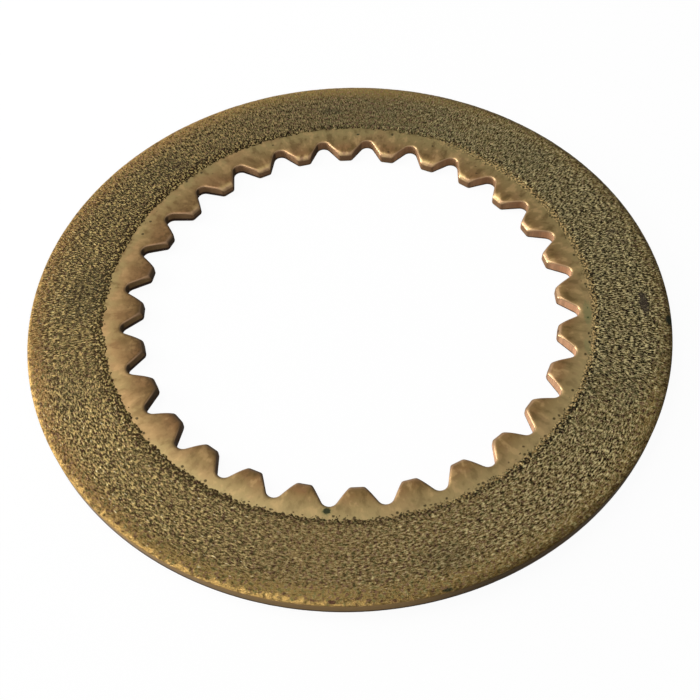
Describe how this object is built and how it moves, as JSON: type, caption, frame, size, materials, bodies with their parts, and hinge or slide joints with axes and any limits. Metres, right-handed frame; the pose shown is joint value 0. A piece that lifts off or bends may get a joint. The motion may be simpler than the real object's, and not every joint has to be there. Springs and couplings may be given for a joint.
{
  "type": "clutch disc",
  "caption": "Flat annular friction disc for a wet clutch: a steel core plate with internal spline teeth and a sintered bronze facing bonded to each side.",
  "frame": {"origin": "centre of the disc, at the middle of its thickness", "axes": "+Z is the disc's axis, out of the side whose tooth edges are rolled over; +X runs through the middle of one gap between two teeth"},
  "size_m": [0.124, 0.124, 0.003],
  "materials": {
    "core_steel": "copper-flashed steel, satin, tarnished brown on the teeth and yellow beside the facing",
    "sintered_bronze": "coarse sintered bronze with open dark pores, oil-stained grey-brown, golden along the worn rim"
  },
  "bodies": {
    "root": {"core_plate": "core_steel", "upper_facing": "sintered_bronze", "lower_facing": "sintered_bronze"}
  },
  "joints": []
}
